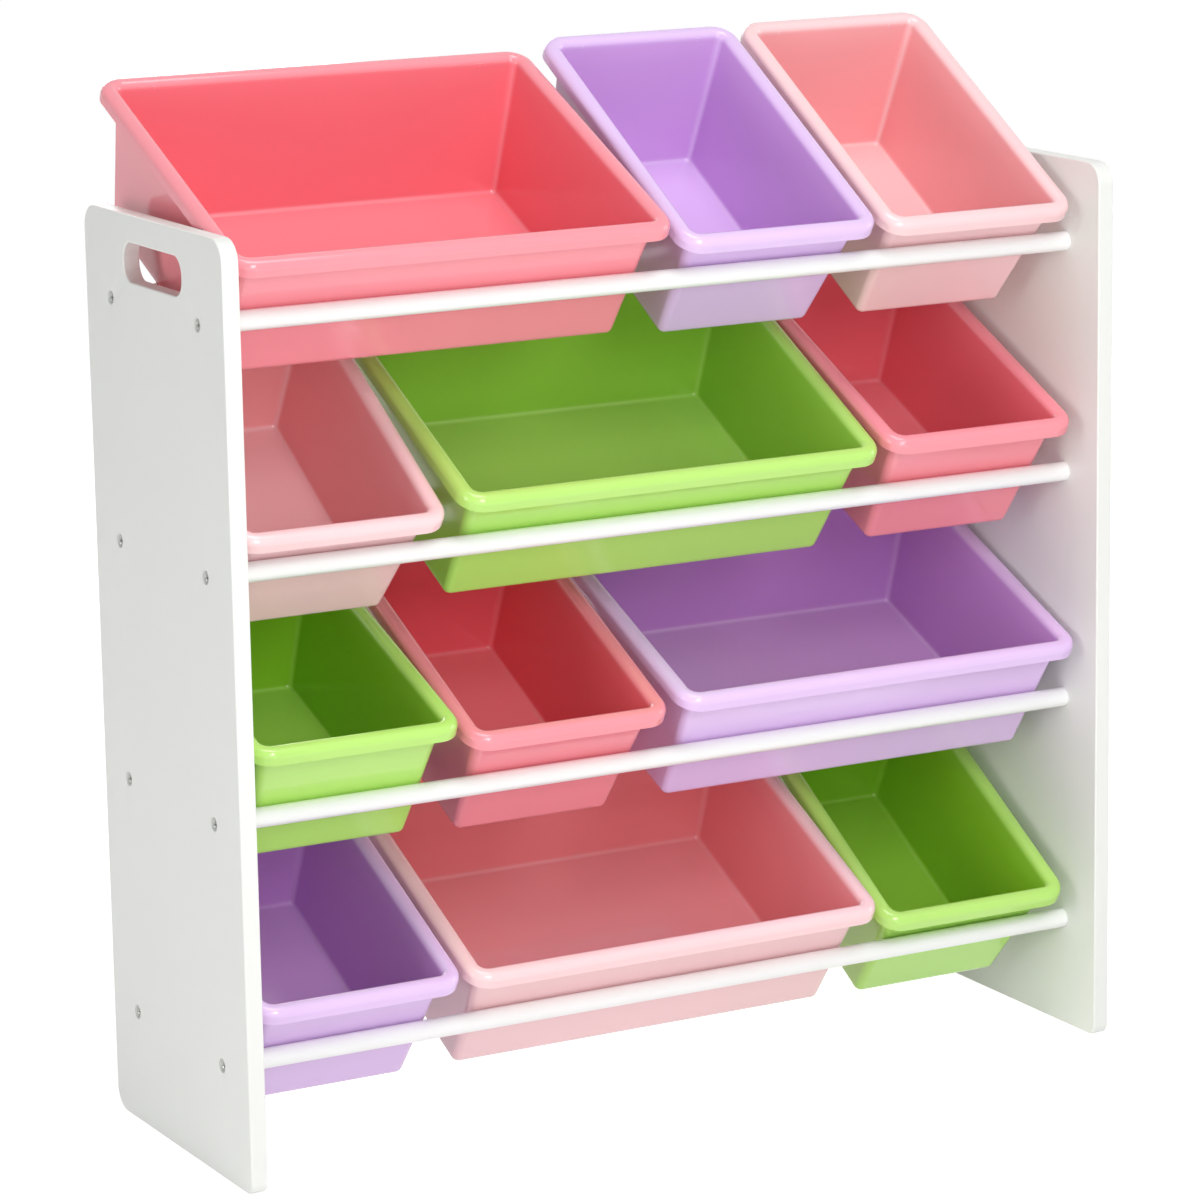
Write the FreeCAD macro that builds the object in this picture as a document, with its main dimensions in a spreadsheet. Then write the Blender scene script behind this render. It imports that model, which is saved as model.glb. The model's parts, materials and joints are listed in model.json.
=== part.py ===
import FreeCAD, Part
import math
import os

import Sketcher

# Toy storage organizer: two upright side panels joined by four rows of rods, with twelve open
# bins that rest on the rods. Millimetres and degrees. +Z is up, the open front faces -Y, and the
# origin is on the floor under the middle of the whole object.

PANEL = {
    "panel_height": 790,
    "panel_depth": 280,
    "panel_thickness": 15,
    "panel_corner_radius": 20,
    "panel_toe_radius": 10,
    "panel_edge_radius": 1.5,
    "handle_length": 118,
    "handle_height": 33,
    "handle_end_radius": 15,
    "handle_below_top": 23,
    "set_forward": 17.45,
}
RODS = {
    "rod_rows": 4,
    "rod_diameter": 17,
    "rod_wall": 1.5,
    "rod_spacing": 176,
    "rod_below_top": 73.5,
    "rod_above_floor": 98.5,
    "socket_depth": 3,
    "socket_clearance": 0.3,
    "insert_length": 26,
    "insert_clearance": 0.1,
    "thread_diameter": 6,
    "thread_clearance": 0.1,
    "bolt_length": 26,
    "bolt_clearance": 0.4,
    "head_diameter": 11,
    "head_height": 3.5,
    "head_round": 1.6,
    "head_clearance": 0.7,
    "head_sink": 4.5,
    "recess_length": 5.6,
    "recess_width": 1.3,
    "recess_depth": 2.2,
}
BINS = {
    "bin_length": 303,
    "bin_height": 126,
    "small_width": 193,
    "large_width": 405,
    "base_length": 235,
    "small_base_width": 147,
    "large_base_width": 365,
    "bin_wall": 2,
    "rim_overhang": 12.5,
    "rim_skirt": 13,
    "rim_corner_radius": 22,
    "rim_edge_radius": 7,
    "tub_top_radius": 9,
    "tub_base_radius": 6,
    "base_edge_radius": 3.5,
    "gusset_thickness": 2,
    "gusset_drop": 5,
    "small_gusset_offset": 58,
    "large_gusset_offset": 153,
    "seat_clearance": 0.3,
    "end_gap": 7.5,
}
# The rows from the top down, with the bins of each from left to right: the size, the gap on the
# bin's left, and how far the bin leans down to the front.
ROWS = (
    (("large", 2.5, 24.6), ("small", 9.5, 30.3), ("small", 6.5, 30.7)),
    (("small", 2.0, 31.7), ("large", 10.0, 26.7), ("small", 4.5, 24.4)),
    (("small", 5.0, 20.4), ("small", 6.5, 25.3), ("large", 9.5, 22.7)),
    (("small", 2.0, 24.8), ("large", 5.5, 25.1), ("small", 6.0, 30.5)),
)
PLACES = ("left", "middle", "right")

# Sizes that follow from others, as expressions on the sheet.
INNER_WIDTH = "( " + " + ".join(f"gap_1_{place} + {size}_width"
                                for place, (size, gap, lean) in zip(PLACES, ROWS[0])) + " + end_gap )"
ROWS_SPAN = "( panel_height - rod_below_top - rod_above_floor )"
ROW_STEP = f"( {ROWS_SPAN} / ( rod_rows - 1 ) )"
SOCKET_DIAMETER = "( rod_diameter + 2 * socket_clearance )"
INSERT_DIAMETER = "( rod_diameter - 2 * rod_wall - 2 * insert_clearance )"
HEAD_BORE = "( head_diameter + 2 * head_clearance )"
SKIRT_BASE = "( bin_height - rim_skirt )"
UNDER_ROLL = "( rim_edge_radius - bin_wall )"
# The tub's outer wall rises to the middle of the rim's thickness, and at the front and rear it
# runs out by this much on the way.
BRIM_HEIGHT = "( bin_height - bin_wall / 2 )"
FLARE = "( ( bin_length - base_length ) / 2 - rim_overhang )"

doc = FreeCAD.newDocument("organizer")
dims = doc.addObject("Spreadsheet::Sheet", "dims")
values = {**PANEL, **RODS, **BINS}
for row, bins in enumerate(ROWS, start=1):
    for place, (size, gap, lean) in zip(PLACES, bins):
        values[f"gap_{row}_{place}"] = gap
        values[f"lean_{row}_{place}"] = lean
for line, (name, amount) in enumerate(values.items(), start=1):
    dims.set(f"A{line}", name)
    dims.set(f"B{line}", str(amount))
    dims.setAlias(f"B{line}", name)
doc.recompute()


# Turn the names in a text into references to the sheet.
def bind(text):
    return " ".join(f"dims.{word}" if word in values else word for word in text.split())


def number(text):
    return float(dims.evalExpression(bind(text)))


def origin_of(body, role):
    return next(item for item in body.Origin.OriginFeatures if item.Role == role)


def new_body(label):
    body = doc.addObject("PartDesign::Body", label)
    body.Label = label
    body.AllowCompound = True
    return body


# A sketch on one of the body's own planes, which can lie off it and be shifted up in it.
def new_sketch(body, name, plane, offset="0", up="0"):
    sketch = body.newObject("Sketcher::SketchObject", f"{body.Name}_{name}")
    sketch.AttachmentSupport = [(origin_of(body, plane), "")]
    sketch.MapMode = "FlatFace"
    sketch.setExpression("AttachmentOffset.Base.z", bind(offset))
    sketch.setExpression("AttachmentOffset.Base.y", bind(up))
    return sketch


def constrain(sketch, text, kind, *where):
    index = sketch.addConstraint(Sketcher.Constraint(kind, *where, number(text)))
    sketch.setExpression(f"Constraints[{index}]", bind(text))


# Four lines and four arcs centred on the sketch's origin. The radii go round from the lower right.
def rounded_rectangle(sketch, width, height, radii):
    right = number(width) / 2
    top = number(height) / 2
    sizes = [number(radius) for radius in radii]
    centres = [FreeCAD.Vector(x * (right - size), y * (top - size), 0)
               for (x, y), size in zip(((1, -1), (1, 1), (-1, 1), (-1, -1)), sizes)]
    quarter = math.pi / 2
    arcs = [Part.ArcOfCircle(Part.Circle(centre, FreeCAD.Vector(0, 0, 1), size),
                             quarter * (turn - 1), quarter * turn)
            for turn, (centre, size) in enumerate(zip(centres, sizes))]
    for turn in range(4):
        sketch.addGeometry(Part.LineSegment(arcs[turn - 1].EndPoint, arcs[turn].StartPoint), False)
    for arc in arcs:
        sketch.addGeometry(arc, False)
    for turn in range(4):
        straight = "Horizontal" if turn % 2 == 0 else "Vertical"
        sketch.addConstraint(Sketcher.Constraint("Tangent", turn, 2, 4 + turn, 1))
        sketch.addConstraint(Sketcher.Constraint("Tangent", 4 + turn, 2, (turn + 1) % 4, 1))
        sketch.addConstraint(Sketcher.Constraint(straight, turn))
        constrain(sketch, radii[turn], "Radius", 4 + turn)
    constrain(sketch, f"{height} / 2", "DistanceY", 0, 1, -1, 1)
    constrain(sketch, f"{width} / 2", "DistanceX", -1, 1, 1, 1)
    constrain(sketch, f"{height} / 2", "DistanceY", -1, 1, 2, 1)
    constrain(sketch, f"{width} / 2", "DistanceX", 3, 1, -1, 1)


# A closed outline through points that are each a pair of expressions.
def polygon(sketch, points):
    first = sketch.GeometryCount
    count = len(points)
    places = [FreeCAD.Vector(number(x), number(y), 0) for x, y in points]
    for index in range(count):
        sketch.addGeometry(Part.LineSegment(places[index], places[(index + 1) % count]), False)
    for index, (x, y) in enumerate(points):
        line = first + index
        after = first + (index + 1) % count
        sketch.addConstraint(Sketcher.Constraint("Coincident", line, 2, after, 1))
        constrain(sketch, x, "DistanceX", -1, 1, line, 1)
        constrain(sketch, y, "DistanceY", -1, 1, line, 1)


def circle(sketch, across, diameter):
    middle = FreeCAD.Vector(number(across), 0, 0)
    ring = sketch.addGeometry(Part.Circle(middle, FreeCAD.Vector(0, 0, 1), number(diameter) / 2), False)
    constrain(sketch, across, "DistanceX", -1, 1, ring, 3)
    sketch.addConstraint(Sketcher.Constraint("PointOnObject", ring, 3, -1))
    constrain(sketch, diameter, "Diameter", ring)


# The two places across the depth where a row has its rods.
ROD_LINES = ("-1 * rod_spacing / 2", "rod_spacing / 2")


def rod_circles(body, name, diameter, offset="0", up="0"):
    sketch = new_sketch(body, name, "YZ_Plane", offset, up)
    for across in ROD_LINES:
        circle(sketch, across, diameter)
    return sketch


# Pad or pocket a sketch, and stop if the body didn't grow or shrink as it should.
def extrude(body, kind, sketch, length, reverse=False, midplane=False):
    before = body.Shape.Volume if body.Shape.Solids else 0
    made = body.newObject(f"PartDesign::{kind}", f"{sketch.Name}_{kind.lower()}")
    made.Profile = sketch
    made.setExpression("Length", bind(length))
    made.Midplane = midplane
    made.Reversed = reverse
    doc.recompute()
    change = body.Shape.Volume - before
    if change * (1 if kind == "Pad" else -1) <= 0:
        raise SystemExit(f"{made.Name} changed the volume by {change:.1f}")
    return made


def loft(body, kind, lower, upper):
    before = body.Shape.Volume
    made = body.newObject(f"PartDesign::{kind}", f"{lower.Name}_loft")
    made.Profile = lower
    made.Sections = [upper]
    made.Ruled = True
    doc.recompute()
    change = body.Shape.Volume - before
    if change * (1 if kind == "AdditiveLoft" else -1) <= 0:
        raise SystemExit(f"{made.Name} changed the volume by {change:.1f}")
    return made


def fillet(body, name, radius, wanted):
    tip = body.Tip
    edges = [f"Edge{index}" for index, edge in enumerate(tip.Shape.Edges, start=1) if wanted(edge)]
    made = body.newObject("PartDesign::Fillet", f"{body.Name}_{name}")
    made.Base = (tip, edges)
    made.setExpression("Radius", bind(radius))
    doc.recompute()
    return made


# Repeat features upwards, once for each row of rods.
def every_row(body, originals):
    pattern = body.newObject("PartDesign::LinearPattern", f"{body.Name}_rows")
    pattern.Originals = originals
    pattern.Direction = (origin_of(body, "Z_Axis"), [""])
    pattern.setExpression("Length", bind(ROWS_SPAN))
    pattern.setExpression("Occurrences", bind("rod_rows"))
    doc.recompute()
    body.Tip = pattern


def place(body, x, y, z, lean="0"):
    body.Placement.Rotation.Axis = FreeCAD.Vector(1, 0, 0)
    body.setExpression(".Placement.Rotation.Angle", bind(lean))
    body.setExpression(".Placement.Base.x", bind(x))
    body.setExpression(".Placement.Base.y", bind(y))
    body.setExpression(".Placement.Base.z", bind(z))


def in_plane(edge, axis, level):
    low = getattr(edge.BoundBox, f"{axis}Min")
    high = getattr(edge.BoundBox, f"{axis}Max")
    return abs(low - level) < 0.01 and abs(high - level) < 0.01


# An edge at this height that lies round a bin's mouth rather than round its skirt.
def round_mouth(edge, size, level):
    box = edge.BoundBox
    across = number(f"{size}_width / 2 - rim_overhang")
    along = number("bin_length / 2 - rim_overhang")
    within = max(box.XMax, -box.XMin) < across and max(box.YMax, -box.YMin) < along
    return within and in_plane(edge, "Z", level)


# A painted board, with its outer face at its own X = 0 and its inner face on the side of `inward`.
def side_panel(side, inward):
    body = new_body(f"{side}_side_panel")
    board = new_sketch(body, "board", "YZ_Plane", up="panel_height / 2")
    corner = "panel_corner_radius"
    front_toe = ["panel_corner_radius", corner, corner, "panel_toe_radius"]
    rounded_rectangle(board, "panel_depth", "panel_height", front_toe)
    extrude(body, "Pad", board, "panel_thickness", reverse=inward < 0)

    slot_up = "panel_height - handle_below_top - handle_height / 2"
    slot = new_sketch(body, "handle", "YZ_Plane", up=slot_up)
    rounded_rectangle(slot, "handle_length", "handle_height", ["handle_end_radius"] * 4)
    extrude(body, "Pocket", slot, "panel_thickness", reverse=inward > 0)

    faces = (0, inward * number("panel_thickness"))
    fillet(body, "eased_edges", "panel_edge_radius",
           lambda edge: any(in_plane(edge, "X", face) for face in faces))

    heads = rod_circles(body, "head_bores", HEAD_BORE, up="rod_above_floor")
    shanks = rod_circles(body, "bolt_holes", "thread_diameter + 2 * bolt_clearance", up="rod_above_floor")
    sockets = rod_circles(body, "rod_sockets", SOCKET_DIAMETER,
                          offset=f"{inward} * panel_thickness", up="rod_above_floor")
    cuts = [
        extrude(body, "Pocket", heads, "head_sink", reverse=inward > 0),
        extrude(body, "Pocket", shanks, "panel_thickness", reverse=inward > 0),
        extrude(body, "Pocket", sockets, "socket_depth", reverse=inward < 0),
    ]
    every_row(body, cuts)
    place(body, f"{-inward} * ( {INNER_WIDTH} / 2 + panel_thickness )", "-1 * set_forward", "0")
    return body


# A painted steel tube from the bottom of one panel's socket to the other's.
def rod(row, line, across):
    body = new_body(f"{line}_rod_row{row}")
    ring = new_sketch(body, "section", "YZ_Plane")
    circle(ring, "0", "rod_diameter")
    circle(ring, "0", "rod_diameter - 2 * rod_wall")
    extrude(body, "Pad", ring, f"{INNER_WIDTH} + 2 * socket_depth", midplane=True)
    place(body, "0", f"{across} - set_forward", row_height(row))
    return body


def row_height(row):
    return f"panel_height - rod_below_top - {row - 1} * {ROW_STEP}"


# Threaded plugs in the ends of the rods, all eight on one side. The rods' end is at their X = 0.
def rod_inserts(side, inward):
    body = new_body(f"{side}_rod_inserts")
    plug = rod_circles(body, "plugs", INSERT_DIAMETER, up="rod_above_floor")
    bore = rod_circles(body, "threads", "thread_diameter + 2 * thread_clearance", up="rod_above_floor")
    made = [
        extrude(body, "Pad", plug, "insert_length", reverse=inward < 0),
        extrude(body, "Pocket", bore, "insert_length", reverse=inward > 0),
    ]
    every_row(body, made)
    place(body, f"{-inward} * ( {INNER_WIDTH} / 2 + socket_depth )", "-1 * set_forward", "0")
    return body


# Cross-recess bolts, all eight on one side, with the seat of their heads at their X = 0.
def panel_bolts(side, inward):
    body = new_body(f"{side}_panel_bolts")
    head = rod_circles(body, "heads", "head_diameter", up="rod_above_floor")
    shank = rod_circles(body, "shanks", "thread_diameter", up="rod_above_floor")
    head_pad = extrude(body, "Pad", head, "head_height", reverse=inward > 0)
    crown = -inward * number("head_height")
    round_pad = fillet(body, "domes", "head_round", lambda edge: in_plane(edge, "X", crown))
    shank_pad = extrude(body, "Pad", shank, "bolt_length", reverse=inward < 0)
    cross = new_sketch(body, "recesses", "YZ_Plane", offset=f"{-inward} * head_height",
                       up="rod_above_floor")
    arm = "recess_length / 2"
    half = "recess_width / 2"
    for across in ROD_LINES:
        corners = ((arm, half), (half, half), (half, arm), (f"-1 * {half}", arm),
                   (f"-1 * {half}", half), (f"-1 * {arm}", half))
        lower = tuple((f"-1 * ( {x} )", f"-1 * ( {y} )") for x, y in corners)
        polygon(cross, [(f"{across} + {x}", y) for x, y in corners + lower])
    recess = extrude(body, "Pocket", cross, "recess_depth", reverse=inward > 0)
    every_row(body, [head_pad, round_pad, shank_pad, recess])
    place(body, f"{-inward} * ( {INNER_WIDTH} / 2 + panel_thickness - head_sink )",
          "-1 * set_forward", "0")
    return body


# An open tub with flared walls and a rolled rim, standing on its own X-Y plane.
def bin_body(label, size):
    body = new_body(label)
    rim_width = f"{size}_width"
    base_width = f"{size}_base_width"
    skirt_radius = "rim_corner_radius - bin_wall"

    rim = new_sketch(body, "rim", "XY_Plane", offset=SKIRT_BASE)
    rounded_rectangle(rim, rim_width, "bin_length", ["rim_corner_radius"] * 4)
    extrude(body, "Pad", rim, "rim_skirt")
    under = new_sketch(body, "under_rim", "XY_Plane", offset=SKIRT_BASE)
    rounded_rectangle(under, f"( {rim_width} - 2 * bin_wall )", "( bin_length - 2 * bin_wall )",
                      [skirt_radius] * 4)
    extrude(body, "Pocket", under, "rim_skirt - bin_wall", reverse=True)
    # The rim's top and its underside keep one thickness round the roll.
    top = number("bin_height")
    ceiling = number("bin_height - bin_wall")
    fillet(body, "skirt_roll", UNDER_ROLL, lambda edge: in_plane(edge, "Z", ceiling))
    fillet(body, "outer_roll", "rim_edge_radius", lambda edge: in_plane(edge, "Z", top))

    base = new_sketch(body, "tub_base", "XY_Plane")
    rounded_rectangle(base, base_width, "base_length", ["tub_base_radius"] * 4)
    brim = new_sketch(body, "tub_brim", "XY_Plane", offset=BRIM_HEIGHT)
    rounded_rectangle(brim, f"( {rim_width} - 2 * rim_overhang )",
                      "( bin_length - 2 * rim_overhang )", ["tub_top_radius"] * 4)
    loft(body, "AdditiveLoft", base, brim)
    fillet(body, "brim_roll", UNDER_ROLL, lambda edge: round_mouth(edge, size, ceiling))

    ribs = new_sketch(body, "gussets", "YZ_Plane", offset=f"{size}_gusset_offset")
    skirt_middle = "( bin_length / 2 - bin_wall / 2 )"
    wall_top = "( bin_length / 2 - rim_overhang - bin_wall / 2 )"
    foot = f"( {wall_top} - {FLARE} * ( rim_skirt + gusset_drop ) / {BRIM_HEIGHT} )"
    # The ribs' outline turns the roll's corner in the middle of the plastic.
    roll_centre = "( bin_length / 2 - rim_edge_radius )"
    roll_start = "( bin_height - rim_edge_radius )"
    half_way = "( rim_edge_radius - bin_wall / 2 ) * sqrt( 0.5 )"
    for end in (-1, 1):
        polygon(ribs, [
            (f"{end} * {skirt_middle}", SKIRT_BASE),
            (f"{end} * {skirt_middle}", roll_start),
            (f"{end} * ( {roll_centre} + {half_way} )", f"{roll_start} + {half_way}"),
            (f"{end} * {roll_centre}", BRIM_HEIGHT),
            (f"{end} * {wall_top}", BRIM_HEIGHT),
            (f"{end} * {foot}", f"{SKIRT_BASE} - gusset_drop"),
        ])
    rib = extrude(body, "Pad", ribs, "gusset_thickness", midplane=True)
    both = body.newObject("PartDesign::Mirrored", f"{body.Name}_gusset_pairs")
    both.Originals = [rib]
    both.MirrorPlane = (origin_of(body, "YZ_Plane"), [""])
    doc.recompute()
    body.Tip = both

    floor = new_sketch(body, "hollow_floor", "XY_Plane", offset="bin_wall")
    rounded_rectangle(floor, f"( {base_width} - 2 * bin_wall )", "( base_length - 2 * bin_wall )",
                      ["tub_base_radius - bin_wall"] * 4)
    mouth = new_sketch(body, "hollow_mouth", "XY_Plane", offset="bin_height")
    rounded_rectangle(mouth, f"( {rim_width} - 2 * rim_overhang - 2 * bin_wall )",
                      "( bin_length - 2 * rim_overhang - 2 * bin_wall )",
                      ["tub_top_radius - bin_wall"] * 4)
    loft(body, "SubtractiveLoft", floor, mouth)
    fillet(body, "inner_roll", "rim_edge_radius", lambda edge: round_mouth(edge, size, top))
    level = number("bin_wall")
    fillet(body, "floor_edge", "base_edge_radius - bin_wall", lambda edge: in_plane(edge, "Z", level))
    fillet(body, "base_edge", "base_edge_radius", lambda edge: in_plane(edge, "Z", 0))
    return body


# Where a leaning bin lies: its base on the rear rod and its front wall against the front rod, a
# clearance away from both. Returns the depth and height of the middle of its base.
def seat(row, lean):
    reach = "( rod_diameter / 2 + seat_clearance )"
    draft = f"atan( {FLARE} / {BRIM_HEIGHT} )"
    behind = (f"( rod_spacing * cos( {lean} ) - base_length / 2 - ( {reach} + sin( {draft} )"
              f" * ( rod_spacing * sin( {lean} ) - {reach} ) ) / cos( {draft} ) )")
    depth = f"rod_spacing / 2 - {behind} * cos( {lean} ) - {reach} * sin( {lean} ) - set_forward"
    height = f"{row_height(row)} - {behind} * sin( {lean} ) + {reach} * cos( {lean} )"
    return depth, height


def row_of_bins(row, bins):
    made = []
    left = f"-1 * {INNER_WIDTH} / 2"
    for where, (size, gap, lean) in zip(PLACES, bins):
        body = bin_body(f"bin_row{row}_{where}_{size}", size)
        centre = f"{left} + gap_{row}_{where} + {size}_width / 2"
        depth, height = seat(row, f"lean_{row}_{where}")
        place(body, centre, depth, height, f"lean_{row}_{where}")
        left = f"{left} + gap_{row}_{where} + {size}_width"
        made.append(body)
    return made


SIDES = (("left", 1), ("right", -1))
pieces = []
for side, inward in SIDES:
    pieces.append(side_panel(side, inward))
    pieces.append(rod_inserts(side, inward))
    pieces.append(panel_bolts(side, inward))
for row, bins in enumerate(ROWS, start=1):
    for line, across in zip(("front", "rear"), ROD_LINES):
        pieces.append(rod(row, line, across))
    pieces.extend(row_of_bins(row, bins))
doc.recompute()

for item in doc.Objects:
    if "Invalid" in item.State or "Error" in item.State:
        raise SystemExit(f"{item.Label} failed: {item.State}")
for piece in pieces:
    if piece.Shape.isNull() or not piece.Shape.isValid():
        raise SystemExit(f"{piece.Label} has no valid shape")

os.makedirs("parts", exist_ok=True)
for piece in pieces:
    piece.Shape.exportStep(f"parts/{piece.Label}.step")
    box = piece.Shape.BoundBox
    print(f"{piece.Label}: {len(piece.Shape.Solids)} solids, {piece.Shape.Volume / 1000:.1f} cm3,"
          f" y {box.YMin:.2f} to {box.YMax:.2f}, z {box.ZMin:.2f} to {box.ZMax:.2f}")
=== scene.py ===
import json
import math

import bmesh
import bpy
from mathutils import Matrix, Vector


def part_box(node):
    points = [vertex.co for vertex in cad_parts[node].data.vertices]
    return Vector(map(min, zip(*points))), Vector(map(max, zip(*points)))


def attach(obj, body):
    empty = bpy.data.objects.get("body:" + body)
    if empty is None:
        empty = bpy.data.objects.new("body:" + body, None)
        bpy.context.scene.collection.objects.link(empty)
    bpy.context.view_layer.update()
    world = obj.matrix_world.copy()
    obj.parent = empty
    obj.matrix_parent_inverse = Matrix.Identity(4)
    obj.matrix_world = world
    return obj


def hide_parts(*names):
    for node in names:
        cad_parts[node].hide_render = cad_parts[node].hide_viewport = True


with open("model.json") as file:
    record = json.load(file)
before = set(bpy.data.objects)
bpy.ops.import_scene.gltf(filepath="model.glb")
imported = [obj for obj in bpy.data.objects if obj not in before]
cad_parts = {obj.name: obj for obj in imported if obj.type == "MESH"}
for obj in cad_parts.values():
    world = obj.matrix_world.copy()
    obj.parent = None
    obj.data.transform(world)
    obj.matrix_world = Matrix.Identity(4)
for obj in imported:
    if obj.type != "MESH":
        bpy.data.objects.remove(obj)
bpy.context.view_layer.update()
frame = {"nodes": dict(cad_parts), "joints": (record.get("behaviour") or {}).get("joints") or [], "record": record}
print("frame loaded")

mm = 0.001
white = (1, 1, 1, 1)


# camera, light and room

photoCamera = {
    "place": (-1.9423, -3.587, 1.3141),
    "yaw": 0.502,  # towards +X from straight ahead, in radians
    "pitch": 0.214,  # downwards
    "roll": -0.015,
    "lens": 143.8,
    "sensor": 36,
    "shift": (-0.0267, -0.0054),
    "farthest": 100,
}

camera = bpy.data.objects.new("photoCamera", bpy.data.cameras.new("photoCamera"))
bpy.context.scene.collection.objects.link(camera)
turn = (Matrix.Rotation(-photoCamera["yaw"], 4, "Z")
        @ Matrix.Rotation(math.pi / 2 - photoCamera["pitch"], 4, "X")
        @ Matrix.Rotation(photoCamera["roll"], 4, "Z"))
camera.matrix_world = Matrix.Translation(photoCamera["place"]) @ turn
camera.data.sensor_width = photoCamera["sensor"]
camera.data.lens = photoCamera["lens"]
camera.data.shift_x, camera.data.shift_y = photoCamera["shift"]
camera.data.clip_end = photoCamera["farthest"]
bpy.context.scene.camera = camera
bpy.context.scene.view_settings.view_transform = "Standard"

rackMiddle = (0, 0, 0.45)  # where every softbox is aimed
# name: place, size, watts
softboxes = {
    "topSoftbox": ((0.1, -0.8, 3.2), 1.4, 30),
    "highSoftbox": ((0, -2.4, 2.2), 0.6, 12),
    "frontSoftbox": ((-0.3, -1.9, 1.1), 0.6, 11),
    "lowSoftbox": ((-0.6, -1.8, 0.03), 1.5, 10),
    "leftSoftbox": ((-3.2, -0.7, 0.8), 1.2, 25),
    "rightSoftbox": ((3.2, -0.8, 1.4), 1.2, 15),
    "rearSoftbox": ((0.5, 3.2, 1.7), 1.6, 24),
}
for name, (place, size, watts) in softboxes.items():
    lamp = bpy.data.lights.new(name, "AREA")
    lamp.size = size
    lamp.energy = watts
    holder = bpy.data.objects.new(name, lamp)
    holder.location = place
    holder.visible_camera = False
    holder.rotation_euler = (Vector(rackMiddle) - Vector(place)).to_track_quat("-Z", "Y").to_euler()
    bpy.context.scene.collection.objects.link(holder)

room = {
    "ambient": 0.28, "seen": 1.0,  # how bright the background is as light, and to the eye
    "floorSize": 30, "floorColour": (0.88, 0.88, 0.88, 1),
    "floorLift": 0.75,  # added to the floor where it is seen, so that it is white
}


# One value for rays that show the background, to the camera, in a reflection or through something,
# and one for light.
def whenSeen(material, shown, otherwise):
    nodes, links = material.node_tree.nodes, material.node_tree.links
    rays = nodes.new("ShaderNodeLightPath")
    seen = rays.outputs["Is Camera Ray"]
    for kind in ("Is Glossy Ray", "Is Transmission Ray"):
        either = nodes.new("ShaderNodeMath")
        either.operation = "MAXIMUM"
        links.new(seen, either.inputs[0])
        links.new(rays.outputs[kind], either.inputs[1])
        seen = either.outputs[0]
    value = nodes.new("ShaderNodeMapRange")
    value.inputs["To Min"].default_value = otherwise
    value.inputs["To Max"].default_value = shown
    links.new(seen, value.inputs["Value"])
    return value.outputs["Result"]


world = bpy.data.worlds.new("studio")
bpy.context.scene.world = world
world.use_nodes = True
world.node_tree.links.new(whenSeen(world, room["seen"], room["ambient"]),
                          world.node_tree.nodes["Background"].inputs["Strength"])
world.node_tree.nodes["Background"].inputs["Color"].default_value = white

floorMesh = bmesh.new()
bmesh.ops.create_grid(floorMesh, x_segments=1, y_segments=1, size=room["floorSize"] / 2)
floorData = bpy.data.meshes.new("studioFloor")
floorMesh.to_mesh(floorData)
floorMesh.free()
studioFloor = bpy.data.objects.new("studioFloor", floorData)
bpy.context.scene.collection.objects.link(studioFloor)
paper = bpy.data.materials.new("paper")
paper.use_nodes = True
surface = paper.node_tree.nodes["Principled BSDF"]
surface.inputs["Base Color"].default_value = room["floorColour"]
surface.inputs["Roughness"].default_value = 1
surface.inputs["Specular IOR Level"].default_value = 0
surface.inputs["Emission Color"].default_value = white
paper.node_tree.links.new(whenSeen(paper, room["floorLift"], 0), surface.inputs["Emission Strength"])
floorData.materials.append(paper)
print("camera, lights and room made")


# materials

# A noise on Object coordinates: size is how far apart its bumps are, in metres.
def noiseField(material, size, detail=2.0):
    nodes, links = material.node_tree.nodes, material.node_tree.links
    where = nodes.new("ShaderNodeTexCoord")
    noise = nodes.new("ShaderNodeTexNoise")
    noise.inputs["Scale"].default_value = 1 / size
    noise.inputs["Detail"].default_value = detail
    links.new(where.outputs["Object"], noise.inputs["Vector"])
    return noise.outputs["Fac"]


usualNoise = (0.3, 0.7)  # nearly all of a noise's values lie between these


def spread(material, field, low, high):
    nodes, links = material.node_tree.nodes, material.node_tree.links
    change = nodes.new("ShaderNodeMapRange")
    change.inputs["From Min"].default_value, change.inputs["From Max"].default_value = usualNoise
    change.inputs["To Min"].default_value = low
    change.inputs["To Max"].default_value = high
    links.new(field, change.inputs["Value"])
    return change.outputs["Result"]


# Each of the two is a colour or another node's output. A Mix node's colours are inputs 6 and 7 and
# output 2.
def blendColours(material, field, first, second):
    nodes, links = material.node_tree.nodes, material.node_tree.links
    mix = nodes.new("ShaderNodeMix")
    mix.data_type = "RGBA"
    links.new(field, mix.inputs[0])
    for colour, socket in ((first, mix.inputs[6]), (second, mix.inputs[7])):
        if isinstance(colour, tuple):
            socket.default_value = colour
        else:
            links.new(colour, socket)
    return mix.outputs[2]


def addBumps(material, bumps):
    nodes, links = material.node_tree.nodes, material.node_tree.links
    before = None
    for size, height, strength in bumps:
        bump = nodes.new("ShaderNodeBump")
        bump.inputs["Distance"].default_value = height
        bump.inputs["Strength"].default_value = strength
        links.new(noiseField(material, size), bump.inputs["Height"])
        if before:
            links.new(before, bump.inputs["Normal"])
        before = bump.outputs["Normal"]
    links.new(before, nodes["Principled BSDF"].inputs["Normal"])


# The piece's own colour, a little uneven, and a deeper painted shade colour where its painted shade attribute says
# so.
def makeColour(material, look):
    cloud = spread(material, noiseField(material, look["cloud"]), 0, 1)
    tones = []
    for colour in (look["colour"], look.get("paintedShadeColour")):
        if colour:
            shaded = tuple(channel * look["mottle"] for channel in colour)
            tones.append(blendColours(material, cloud, (*colour, 1), (*shaded, 1)))
    if len(tones) == 1:
        return tones[0]
    depth = material.node_tree.nodes.new("ShaderNodeAttribute")
    depth.attribute_name = "painted_shade"
    return blendColours(material, depth.outputs["Fac"], *tones)


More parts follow.
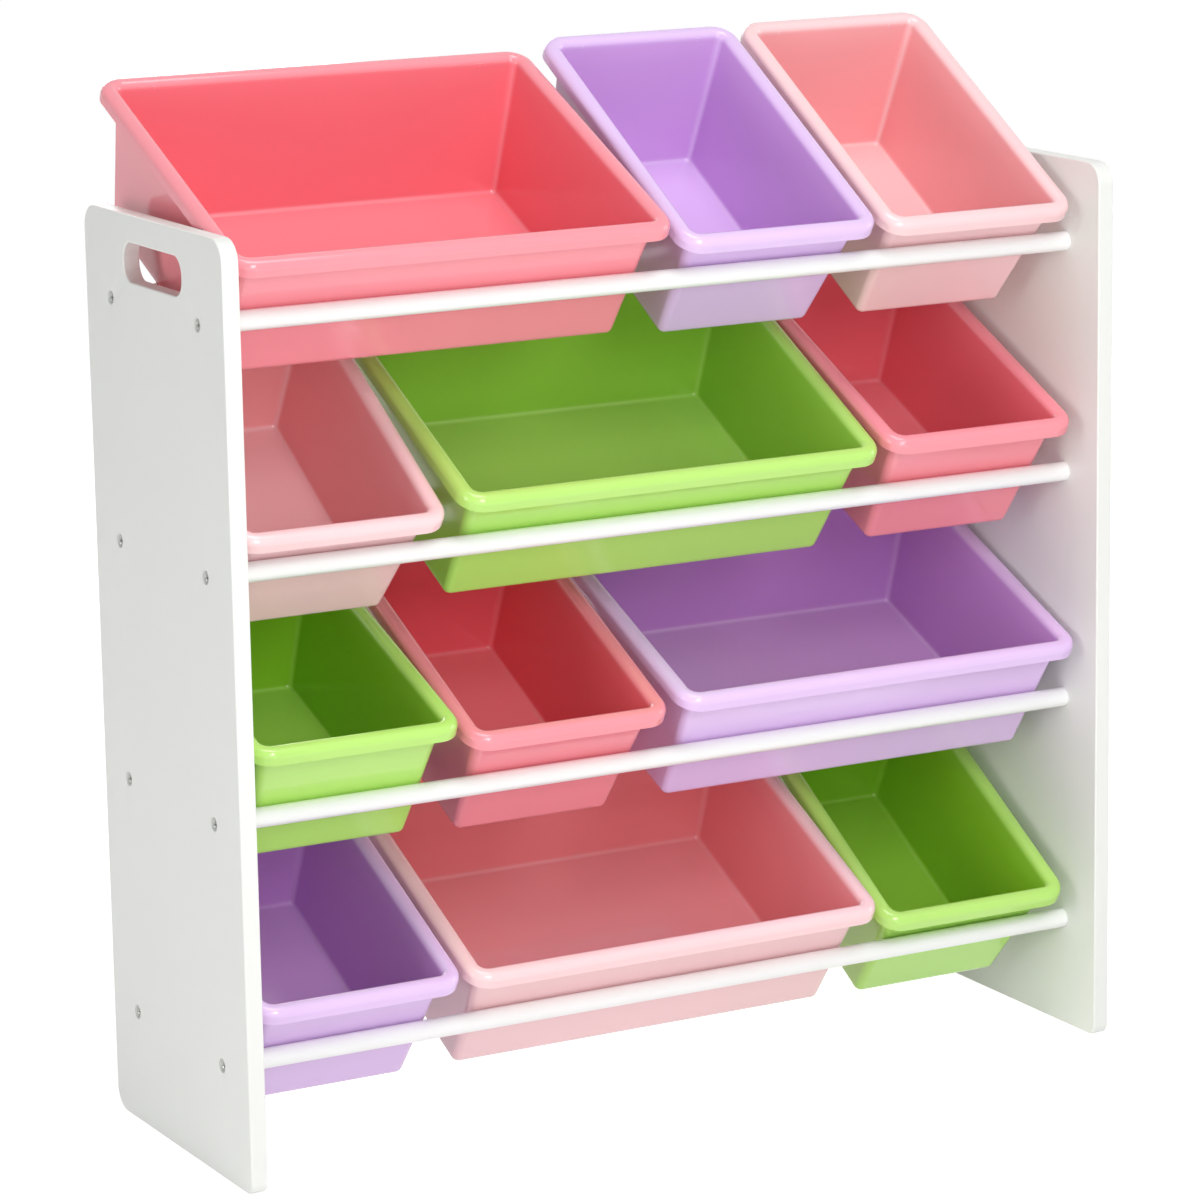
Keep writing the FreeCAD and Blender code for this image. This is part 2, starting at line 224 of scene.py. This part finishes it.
def makeFinish(name, look):
    material = bpy.data.materials.new(name)
    material.use_nodes = True
    links = material.node_tree.links
    surface = material.node_tree.nodes["Principled BSDF"]
    links.new(makeColour(material, look), surface.inputs["Base Color"])
    rough = spread(material, noiseField(material, look["smudge"], detail=4), *look["rough"])
    links.new(rough, surface.inputs["Roughness"])
    surface.inputs["IOR"].default_value = look.get("ior", 1.5)
    surface.inputs["Metallic"].default_value = look.get("metal", 0)
    addBumps(material, look["bumps"])
    return material


# mottle: the darker tone, as a share of the colour. cloud and smudge: how far apart the patches of
# tone and of gloss are, in metres. rough: the least and most. bumps: size and height in metres, and
# strength.
plastic = {
    "mottle": 0.985, "cloud": 0.09, "smudge": 0.05, "rough": (0.1, 0.15), "ior": 1.53,
    "bumps": ((0.0014, 0.00003, 0.1),),
}
boardPaint = {
    "colour": (0.82, 0.83, 0.8), "mottle": 0.985, "cloud": 0.15, "smudge": 0.02, "rough": (0.36, 0.44),
    "bumps": ((0.0012, 0.00006, 0.2), (0.009, 0.00008, 0.1)),
}
rodPaint = {
    "colour": (0.91, 0.92, 0.91), "mottle": 0.99, "cloud": 0.09, "smudge": 0.02, "rough": (0.28, 0.29),
    "bumps": ((0.0012, 0.00002, 0.03),),
}
# the bolts' deeper colour is painted shade, near black, for the cross and the sides under the head's face
boltSteel = {
    "colour": (0.42, 0.42, 0.4), "paintedShadeColour": (0.02, 0.02, 0.02), "mottle": 0.78, "cloud": 0.003,
    "smudge": 0.002, "rough": (0.2, 0.34), "metal": 1, "bumps": ((0.0007, 0.00004, 0.2),),
}
plugPlastic = {
    "colour": (0.72, 0.72, 0.7), "mottle": 0.95, "cloud": 0.01, "smudge": 0.004, "rough": (0.45, 0.6),
    "bumps": ((0.0009, 0.00005, 0.3),),
}
# slot: the colour outside and on the rim, and the deeper colour inside, which is painted shade
binColours = {
    "bin_coral": ((0.94, 0.3, 0.35), (0.9, 0.14, 0.18)),
    "bin_lavender": ((0.78, 0.56, 0.9), (0.62, 0.31, 0.73)),
    "bin_light_pink": ((0.97, 0.65, 0.67), (0.93, 0.32, 0.34)),
    "bin_green": ((0.48, 0.8, 0.17), (0.29, 0.6, 0.03)),
}

finishes = {slot: makeFinish(slot, {**plastic, "colour": outside, "paintedShadeColour": painted_shade})
            for slot, (outside, painted_shade) in binColours.items()}
for slot, look in (("board_paint", boardPaint), ("rod_paint", rodPaint),
                   ("bolt_steel", boltSteel), ("plug_plastic", plugPlastic)):
    finishes[slot] = makeFinish(slot, look)
print("finishes made")

slotOf = {part["node"]: part["material_slot"] for part in frame["record"]["subparts"]}
bodies = frame["record"]["behaviour"]["bodies"]
bodyOf = {node: body for body, members in bodies.items() for node in members}
leanOf = {joint["child"]: math.atan2(-joint["axis"][1], joint["axis"][2]) for joint in frame["joints"]}


sharpAngle = 35  # degrees between faces, past which an edge is shaded sharp


def addPiece(name, shape, node):
    data = bpy.data.meshes.new(name)
    shape.to_mesh(data)
    shape.free()
    for face in data.polygons:
        face.use_smooth = True
    data.set_sharp_from_angle(angle=math.radians(sharpAngle))
    data.materials.append(finishes[slotOf[node]])
    piece = bpy.data.objects.new(name, data)
    bpy.context.scene.collection.objects.link(piece)
    even = piece.modifiers.new("evenShading", "WEIGHTED_NORMAL")
    even.keep_sharp = True
    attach(piece, bodyOf[node])
    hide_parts(node)


# boards, rods, plugs and bolts: the CAD shape, joined up and shaded smoothly

copied = {"joinWithin": 0.002, "shadeBelow": 0.3}  # mm between vertices, and how deep under the bolts' faces shade is painted


def joinedCopy(node):
    shape = bmesh.new()
    shape.from_mesh(frame["nodes"][node].data)
    bmesh.ops.remove_doubles(shape, verts=shape.verts, dist=copied["joinWithin"] * mm)
    return shape


# Paint shade under the bolts' faces, in the cross and down the sides, so that these recesses are dark.
def paintRecessShade(shape):
    recessShade = shape.verts.layers.float.new("painted_shade")
    face = max(abs(vert.co.x) for vert in shape.verts)
    for vert in shape.verts:
        vert[recessShade] = 1 if abs(vert.co.x) < face - copied["shadeBelow"] * mm else 0


for node, slot in slotOf.items():
    if not slot.startswith("bin_"):
        shape = joinedCopy(node)
        if slot == "bolt_steel":
            paintRecessShade(shape)
        addPiece(f"{node}_made", shape, node)
print("boards, rods, plugs and bolts made")


# bins

binShape = {
    "length": 303, "height": 126, "wall": 2,
    "small": {"width": 193, "baseWidth": 147, "gusset": 58},
    "large": {"width": 405, "baseWidth": 365, "gusset": 153},
    "baseLength": 235, "overhang": 12.5, "skirt": 13,
    "floorCorner": 5, "mouthCorner": 7, "rimCorner": 22, "cornerSteps": 10,
    "floorRound": 4.5, "innerRoll": 7, "outerRoll": 7, "crown": 0.15,
    "gussetDrop": 5, "gussetThick": 2,
    "floorTurn": range(0, 81, 16), "rollTurn": range(10, 91, 10),  # degrees at each ring of a round
    "wallRings": 6, "wallMargin": 1,  # how many steps the plain wall has, and its gap to the rounds
    "paintedShadeStart": 1, "paintedShadeBlend": 8,  # how far below the rim the painted shade starts, and over what
    # by row, painted shade: how much the walls and the floor take (in the upper rows the floor less, as painted
    # light), and how much less the rounds between them take, as a painted highlight
    "depth": {"row1": (0.7, 0.2, 0.85), "row2": (0.7, 0.2, 0.6),
              "row3": (1, 0.5, 0.35), "row4": (1, 0.8, 0.1)},
}


# How far a wall that leans out by slope, seen on end, stands outside its foot at this height, and
# how much of that is the rim's inner roll or, below zero, the floor's round.
def wallReach(height, slope, shape):
    lean = math.atan(slope)
    low, roll = shape["floorRound"], shape["innerRoll"]
    top = shape["height"] - shape["wall"]
    reach = height * slope
    if height < low * (1 - math.sin(lean)):
        reach = math.sqrt(low ** 2 - (low - height) ** 2) - low * (1 - math.sin(lean)) / math.cos(lean)
    if height > top - roll * (1 - math.sin(lean)):
        centre = (top - roll) * slope + roll / math.cos(lean)
        reach = centre - math.sqrt(max(roll ** 2 - (height - top + roll) ** 2, 0))
    return reach, reach - height * slope


# The rings of a bin's upper surface from the floor to the foot of the skirt, each a height above
# the underside, the reach along X and Y, and the corner's radius.
def binRings(size, shape):
    width = shape[size]["width"]
    footX = shape[size]["baseWidth"] / 2 - shape["wall"]
    footY = shape["baseLength"] / 2 - shape["wall"]
    rise = shape["height"] - shape["wall"]
    slopeX = (width / 2 - shape["overhang"] - shape["wall"] - footX) / rise
    slopeY = (shape["length"] / 2 - shape["overhang"] - shape["wall"] - footY) / rise
    low, roll, outer = shape["floorRound"], shape["innerRoll"], shape["outerRoll"]
    steps, margin = shape["wallRings"], shape["wallMargin"]
    plain = rise - roll - low - 2 * margin
    heights = [low * (1 - math.cos(math.radians(angle))) for angle in shape["floorTurn"]]
    heights += [low + margin + plain * step / steps for step in range(steps + 1)]
    heights += [rise - roll * (1 - math.sin(math.radians(angle))) for angle in shape["rollTurn"]]
    rings = []
    for height in heights:
        share = height / rise
        reachX, bend = wallReach(height, slopeX, shape)
        reachY, _ = wallReach(height, slopeY, shape)
        corner = shape["floorCorner"] * (1 - share) + shape["mouthCorner"] * share + bend
        rings.append((height + shape["wall"], footX + reachX, footY + reachY, corner))
    top = shape["height"]
    endX, endY = width / 2, shape["length"] / 2
    _, startX, startY, startCorner = rings[-1]
    rings[-1] = (top - shape["crown"], startX, startY, startCorner)

    def outwards(share, height):
        corner = startCorner * (1 - share) + shape["rimCorner"] * share
        rings.append((height, startX + (endX - startX) * share, startY + (endY - startY) * share, corner))

    flat = 1 - outer / (endX - startX)
    outwards(flat / 2, top)
    outwards(flat, top - shape["crown"])
    for angle in shape["rollTurn"]:
        along = flat + outer * math.sin(math.radians(angle)) / (endX - startX)
        drop = (outer - shape["crown"]) * (1 - math.cos(math.radians(angle)))
        outwards(along, top - shape["crown"] - drop)
    outwards(1, top - shape["skirt"])
    return rings


# Move a ring's vertices, which stand in four corners, to a rounded rectangle.
def setRing(corners, ring):
    height, reachX, reachY, radius = ring
    for (signX, signY), verts in corners.items():
        for step, vert in enumerate(verts):
            angle = math.pi / 2 * step / (len(verts) - 1)
            vert.co = (signX * (reachX - radius * (1 - math.cos(angle))) * mm,
                       signY * (reachY - radius * (1 - math.sin(angle))) * mm, height * mm)


def binShell(size, shape):
    bm = bmesh.new()
    rings = binRings(size, shape)
    _, reachX, reachY, radius = rings[0]
    bmesh.ops.create_grid(bm, x_segments=1, y_segments=1, size=1)
    for vert in bm.verts:
        vert.co = (vert.co.x * reachX * mm, vert.co.y * reachY * mm, rings[0][0] * mm)
    bmesh.ops.bevel(bm, geom=bm.verts[:], offset=radius * mm, segments=shape["cornerSteps"],
                    profile=0.5, affect="VERTICES", material=-1)
    corners = {}
    for signX in (-1, 1):
        for signY in (-1, 1):
            verts = [vert for vert in bm.verts if vert.co.x * signX > 0 and vert.co.y * signY > 0]
            corners[signX, signY] = sorted(verts, key=lambda vert: abs(vert.co.y))
    setRing(corners, rings[0])
    edges = bm.edges[:]
    for ring in rings[1:]:
        before = {vert: (key, step) for key, verts in corners.items() for step, vert in enumerate(verts)}
        grown = bmesh.ops.extrude_edge_only(bm, edges=edges)["geom"]
        edges = [item for item in grown if isinstance(item, bmesh.types.BMEdge)
                 and not any(vert in before for vert in item.verts)]
        corners = {key: [None] * len(verts) for key, verts in corners.items()}
        for vert in {vert for edge in edges for vert in edge.verts}:
            old = next(edge.other_vert(vert) for edge in vert.link_edges if edge.other_vert(vert) in before)
            key, step = before[old]
            corners[key][step] = vert
        setRing(corners, ring)
    bmesh.ops.recalc_face_normals(bm, faces=bm.faces)
    if sum(face.normal.z * face.calc_area() for face in bm.faces) < 0:
        bmesh.ops.reverse_faces(bm, faces=bm.faces)
    return bm


# Give the shell its wall, and paint shade on its upper surface up to where the rim rolls over, on the walls and on
# the floor by row, and less where it turns from wall to floor or from wall to wall, which leaves a painted
# highlight there.
def thicken(bm, size, depths, shape):
    painted_shade = bm.verts.layers.float.new("painted_shade")
    upper = set(bm.verts)
    bmesh.ops.solidify(bm, geom=bm.faces[:], thickness=shape["wall"] * mm)
    mouthX = (shape[size]["width"] / 2 - shape["overhang"]) * mm
    mouthY = (shape["length"] / 2 - shape["overhang"]) * mm
    bm.normal_update()
    wallPaintedShade, floorPaintedShade, roundPaintedHighlight = depths
    halfTurned = 1 - math.sqrt(0.5)  # for a normal midway round a square turn
    for vert in bm.verts:
        within = vert in upper and abs(vert.co.x) < mouthX and abs(vert.co.y) < mouthY
        below = shape["height"] - vert.co.z / mm - shape["paintedShadeStart"]
        onFloor = vert.co.z / mm < shape["wall"] + shape["floorRound"] / 2
        # painted light: in the upper rows the floor takes less painted shade than the walls
        depth = floorPaintedShade if onFloor else wallPaintedShade * min(1, max(0, below / shape["paintedShadeBlend"]))
        turning = (1 - max(abs(part) for part in vert.normal)) / halfTurned
        # painted highlight: the rounds take less painted shade, so they show as a pale band
        vert[painted_shade] = depth * (1 - roundPaintedHighlight * min(1, turning)) if within else 0


# The small ribs under the rim, two at the front and two at the rear. Their outline turns the
# rim's outer roll in the middle of the plastic.
def addGussets(bm, size, shape):
    skirt = shape["length"] / 2 - shape["wall"] / 2
    wallTop = skirt - shape["overhang"]
    base = shape["height"] - shape["skirt"]
    top = shape["height"] - shape["wall"] / 2
    slope = (shape["length"] / 2 - shape["overhang"] - shape["baseLength"] / 2) / top
    foot = wallTop - slope * (shape["skirt"] + shape["gussetDrop"])
    rollY = shape["length"] / 2 - shape["outerRoll"]
    rollZ = shape["height"] - shape["outerRoll"]
    halfWay = (shape["outerRoll"] - shape["wall"] / 2) * math.sqrt(0.5)
    outline = ((skirt, base), (skirt, rollZ), (rollY + halfWay, rollZ + halfWay), (rollY, top),
               (wallTop - shape["wall"], top - shape["innerRoll"] / 2), (foot, base - shape["gussetDrop"]))
    thick = shape["gussetThick"]
    for signX in (-1, 1):
        for signY in (-1, 1):
            sideX = signX * shape[size]["gusset"] - thick / 2
            verts = [bm.verts.new((sideX * mm, signY * y * mm, z * mm)) for y, z in outline]
            side = bm.faces.new(verts)
            grown = bmesh.ops.extrude_face_region(bm, geom=[side])["geom"]
            moved = [item for item in grown if isinstance(item, bmesh.types.BMVert)]
            bmesh.ops.translate(bm, verts=moved, vec=(thick * mm, 0, 0))
            faces = list({face for vert in verts + moved for face in vert.link_faces})
            bmesh.ops.recalc_face_normals(bm, faces=faces)


# Where the middle of a bin's underside is, from the box of its CAD node and its lean.
def binSeat(node, lean, shape):
    low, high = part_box(node)
    roundY = (shape["length"] / 2 - shape["outerRoll"]) * mm
    roundZ = (shape["height"] - shape["outerRoll"]) * mm
    radius = shape["outerRoll"] * mm
    return Vector(((low.x + high.x) / 2,
                   low.y + roundY * math.cos(lean) + roundZ * math.sin(lean) + radius,
                   high.z - roundY * math.sin(lean) - roundZ * math.cos(lean) - radius))


for node, slot in slotOf.items():
    if slot.startswith("bin_"):
        _, row, _, size = node.split("_")
        lean = leanOf[bodyOf[node]]
        bm = binShell(size, binShape)
        thicken(bm, size, binShape["depth"][row], binShape)
        addGussets(bm, size, binShape)
        seat = Matrix.Translation(binSeat(node, lean, binShape)) @ Matrix.Rotation(lean, 4, "X")
        bmesh.ops.transform(bm, matrix=seat, verts=bm.verts)
        addPiece(f"{node}_moulded", bm, node)
print("bins made")
